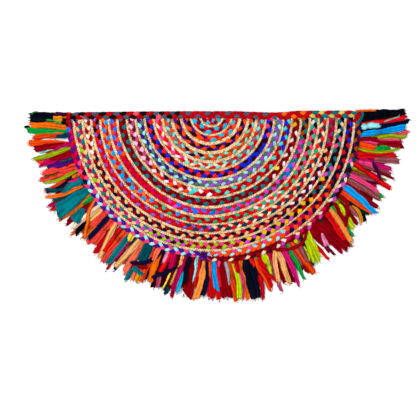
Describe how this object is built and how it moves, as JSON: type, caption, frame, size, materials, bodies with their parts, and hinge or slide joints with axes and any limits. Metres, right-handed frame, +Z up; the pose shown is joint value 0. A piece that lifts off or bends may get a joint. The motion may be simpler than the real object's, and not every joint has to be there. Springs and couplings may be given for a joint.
{
  "type": "braided half-round doormat",
  "caption": "Flat half-round doormat of coloured cotton braids and narrow jute braids laid in half rings, with a braid along its straight edge and a rag fringe round its arc.",
  "frame": {"origin": "middle of the underside of the whole mat's box, fringe included", "axes": "+X along the straight edge, +Y from the arc to the straight edge, +Z up out of the floor"},
  "size_m": [0.9152, 0.4594, 0.0111],
  "materials": {
    "cotton_rag": "matt woven cotton rag in many colours",
    "jute": "natural jute fibre, matt and slightly hairy",
    "edge_rag": "matt woven cotton rag in crimson, black and slate",
    "knot_yarn": "soft purple yarn",
    "fringe_rag": "cut cotton and jersey strips in many colours"
  },
  "bodies": {
    "root": {"cotton_00": "cotton_rag", "cotton_01": "cotton_rag", "cotton_02": "cotton_rag", "cotton_03": "cotton_rag", "cotton_04": "cotton_rag", "cotton_05": "cotton_rag", "cotton_06": "cotton_rag", "cotton_07": "cotton_rag", "cotton_08": "cotton_rag", "cotton_09": "cotton_rag", "cotton_10": "cotton_rag", "cotton_11": "cotton_rag", "cotton_12": "cotton_rag", "cotton_13": "cotton_rag", "cotton_14": "cotton_rag", "cotton_15_left": "cotton_rag", "cotton_15_right": "cotton_rag", "cotton_16": "cotton_rag", "jute_01": "jute", "jute_02": "jute", "jute_03": "jute", "jute_04": "jute", "jute_05": "jute", "jute_06": "jute", "jute_07": "jute", "jute_08": "jute", "jute_09": "jute", "jute_10": "jute", "jute_11": "jute", "jute_12": "jute", "jute_13": "jute", "jute_14": "jute", "jute_15": "jute", "jute_16": "jute", "edge_braid": "edge_rag", "knot": "knot_yarn", "fringe": "fringe_rag"}
  },
  "joints": []
}
